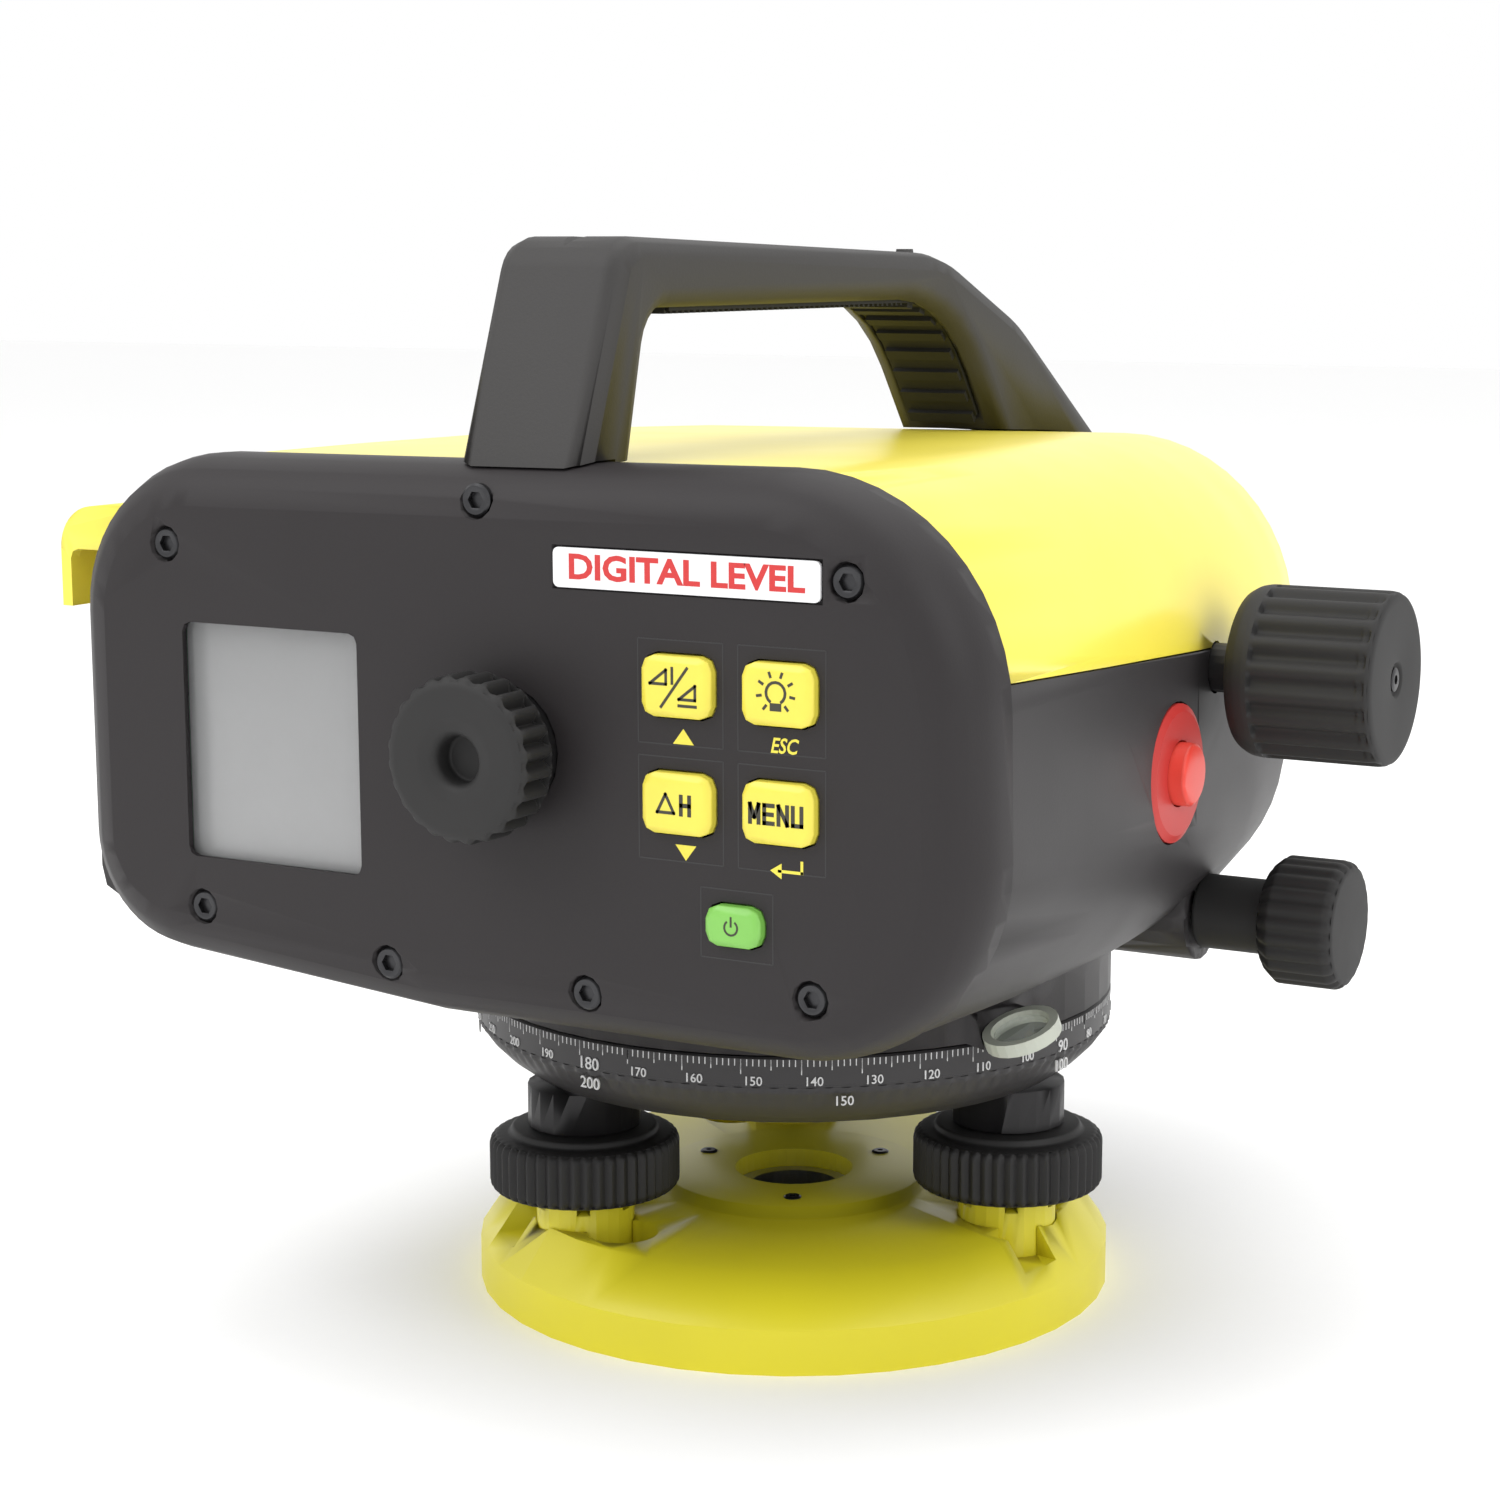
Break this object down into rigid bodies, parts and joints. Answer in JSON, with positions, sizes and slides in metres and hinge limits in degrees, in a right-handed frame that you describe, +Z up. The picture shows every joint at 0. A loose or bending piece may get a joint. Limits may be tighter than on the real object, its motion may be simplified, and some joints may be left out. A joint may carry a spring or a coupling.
{
  "type": "automatic level",
  "caption": "Surveyor's digital automatic level: housing with telescope, display and keys, carrying handle, degree circle and a levelling base with foot screws.",
  "frame": {"origin": "centre of the base plate's underside, on the standing axis", "axes": "+Y along the line of sight towards the objective, +X towards the focusing knob, +Z up"},
  "size_m": [0.196, 0.219, 0.1779],
  "materials": {
    "yellow_casting": "semi-gloss yellow paint on cast aluminium",
    "yellow_shell": "smooth satin yellow paint",
    "yellow_key": "satin yellow silicone rubber with dark printing",
    "green_key": "satin green silicone rubber",
    "dark_shell": "fine-grained dark grey plastic",
    "dark_panel": "fine-grained dark grey plastic with pale printing",
    "black_rubber": "matte black rubber-coated grip",
    "black_metal": "black anodised and painted metal",
    "red_plastic": "satin red plastic",
    "white_label": "white printed label",
    "clear_glass": "polished coated glass",
    "mirror_glass": "polished mirror",
    "display_grey": "grey liquid crystal display",
    "circuit_green": "green circuit board",
    "aluminium": "machined aluminium",
    "steel": "ground steel",
    "brass": "turned brass",
    "cell_wrap": "plastic-wrapped dry cell"
  },
  "bodies": {
    "base": {"base_plate": "yellow_casting", "thread_insert": "steel", "spring_plate": "steel", "foot_nut_a": "yellow_casting", "foot_nut_b": "yellow_casting", "foot_nut_c": "yellow_casting", "tribrach_head": "black_metal", "axis_bush": "brass"},
    "foot_a": {"foot_screw_a": "black_rubber"},
    "foot_b": {"foot_screw_b": "black_rubber"},
    "foot_c": {"foot_screw_c": "black_rubber"},
    "circle": {"circle_ring": "dark_shell"},
    "clutch": {"worm_wheel": "brass"},
    "alidade": {"vertical_axle": "steel", "axle_nut": "black_metal", "chassis": "aluminium", "lower_housing": "dark_shell", "upper_cover": "yellow_shell", "control_panel": "dark_panel", "display_window": "clear_glass", "display_module": "display_grey", "label_plate": "white_label", "main_board": "circuit_green", "handle": "dark_shell", "handle_grip": "black_rubber", "telescope_tube": "black_metal", "objective_ring": "black_metal", "objective_lens": "clear_glass", "focus_bush": "brass", "eyepiece_tube": "black_metal", "compensator_frame": "aluminium", "sensor_board": "circuit_green", "trigger_bezel": "red_plastic", "battery_tray": "dark_shell", "battery_cell_1": "cell_wrap", "battery_cell_2": "cell_wrap", "battery_cell_3": "cell_wrap", "battery_cell_4": "cell_wrap", "level_bracket": "dark_shell", "level_vial": "clear_glass", "level_mirror": "mirror_glass", "mirror_hood": "yellow_shell", "lens_ring": "aluminium", "circle_lens": "clear_glass"},
    "drive": {"drive_shaft": "steel", "drive_knob": "black_rubber"},
    "focus_wheel": {"focus_shaft": "steel", "focus_knob": "black_rubber"},
    "focus_slider": {"focus_cell": "aluminium"},
    "dioptre_ring": {"eyepiece_ring": "black_rubber"},
    "dioptre_lens": {"eyepiece_lens": "clear_glass"},
    "sight_key": {"key_sight": "yellow_key"},
    "light_key": {"key_light": "yellow_key"},
    "height_key": {"key_height": "yellow_key"},
    "menu_key": {"key_menu": "yellow_key"},
    "power_key": {"key_power": "green_key"},
    "trigger": {"trigger_button": "red_plastic"},
    "door": {"battery_door": "dark_shell"},
    "latch": {"battery_latch": "black_rubber"},
    "pendulum": {"compensator_pendulum": "aluminium"}
  },
  "joints": [
    {"name": "foot_a_turn", "type": "hinge", "parent": "base", "child": "foot_a", "pos_m": [0.041, 0, 0.02], "axis": [0, 0, 1], "range_deg": [-1080, 1080]},
    {"name": "foot_b_turn", "type": "hinge", "parent": "base", "child": "foot_b", "pos_m": [-0.0205, 0.03551, 0.02], "axis": [0, 0, 1], "range_deg": [-1080, 1080]},
    {"name": "foot_c_turn", "type": "hinge", "parent": "base", "child": "foot_c", "pos_m": [-0.0205, -0.03551, 0.02], "axis": [0, 0, 1], "range_deg": [-1080, 1080]},
    {"name": "circle_turn", "type": "hinge", "parent": "base", "child": "circle", "pos_m": [0, 0, 0.046], "axis": [0, 0, 1], "continuous": true},
    {"name": "clutch_turn", "type": "hinge", "parent": "base", "child": "clutch", "pos_m": [0, 0, 0.0664], "axis": [0, 0, 1], "continuous": true},
    {"name": "fine_turn", "type": "hinge", "parent": "clutch", "child": "alidade", "pos_m": [0, 0, 0.0664], "axis": [0, 0, 1], "continuous": true},
    {"name": "drive_spin", "type": "hinge", "parent": "alidade", "child": "drive", "pos_m": [0, 0.02145, 0.0664], "axis": [1, 0, 0], "continuous": true},
    {"name": "focus_turn", "type": "hinge", "parent": "alidade", "child": "focus_wheel", "pos_m": [0.08, 0.009, 0.1095], "axis": [1, 0, 0], "range_deg": [-229, 229]},
    {"name": "focus_slide", "type": "slide", "parent": "alidade", "child": "focus_slider", "axis": [0, 1, 0], "range_m": [-0.012, 0.012]},
    {"name": "dioptre_turn", "type": "hinge", "parent": "alidade", "child": "dioptre_ring", "pos_m": [0, -0.095, 0.1044], "axis": [0, 1, 0], "range_deg": [-180, 180]},
    {"name": "dioptre_slide", "type": "slide", "parent": "alidade", "child": "dioptre_lens", "axis": [0, 1, 0], "range_m": [-0.0016, 0.0016]},
    {"name": "sight_press", "type": "slide", "parent": "alidade", "child": "sight_key", "axis": [0, 1, 0], "range_m": [0, 0.0008], "stiffness_N_per_m": 1000, "springref_m": -0.0004},
    {"name": "light_press", "type": "slide", "parent": "alidade", "child": "light_key", "axis": [0, 1, 0], "range_m": [0, 0.0008], "stiffness_N_per_m": 1000, "springref_m": -0.0004},
    {"name": "height_press", "type": "slide", "parent": "alidade", "child": "height_key", "axis": [0, 1, 0], "range_m": [0, 0.0008], "stiffness_N_per_m": 1000, "springref_m": -0.0004},
    {"name": "menu_press", "type": "slide", "parent": "alidade", "child": "menu_key", "axis": [0, 1, 0], "range_m": [0, 0.0008], "stiffness_N_per_m": 1000, "springref_m": -0.0004},
    {"name": "power_press", "type": "slide", "parent": "alidade", "child": "power_key", "axis": [0, 1, 0], "range_m": [0, 0.0008], "stiffness_N_per_m": 1000, "springref_m": -0.0004},
    {"name": "trigger_press", "type": "slide", "parent": "alidade", "child": "trigger", "axis": [-1, 0, 0], "range_m": [0, 0.0015], "stiffness_N_per_m": 800, "springref_m": -0.0006},
    {"name": "door_swing", "type": "hinge", "parent": "alidade", "child": "door", "pos_m": [-0.0812, -0.0175, 0.0785], "axis": [0, 0, -1], "range_deg": [0, 85]},
    {"name": "latch_slide", "type": "slide", "parent": "door", "child": "latch", "axis": [0, 1, 0], "range_m": [0, 0.004]},
    {"name": "pendulum_swing", "type": "hinge", "parent": "alidade", "child": "pendulum", "pos_m": [0, -0.045, 0.1215], "axis": [1, 0, 0], "range_deg": [-0.17, 0.17]}
  ],
  "couplings": [
    {"joint": "drive_spin", "follows": "fine_turn", "ratio": -32},
    {"joint": "focus_slide", "follows": "focus_turn", "m_per_rad": 0.003},
    {"joint": "dioptre_slide", "follows": "dioptre_turn", "m_per_rad": 0.0005}
  ]
}
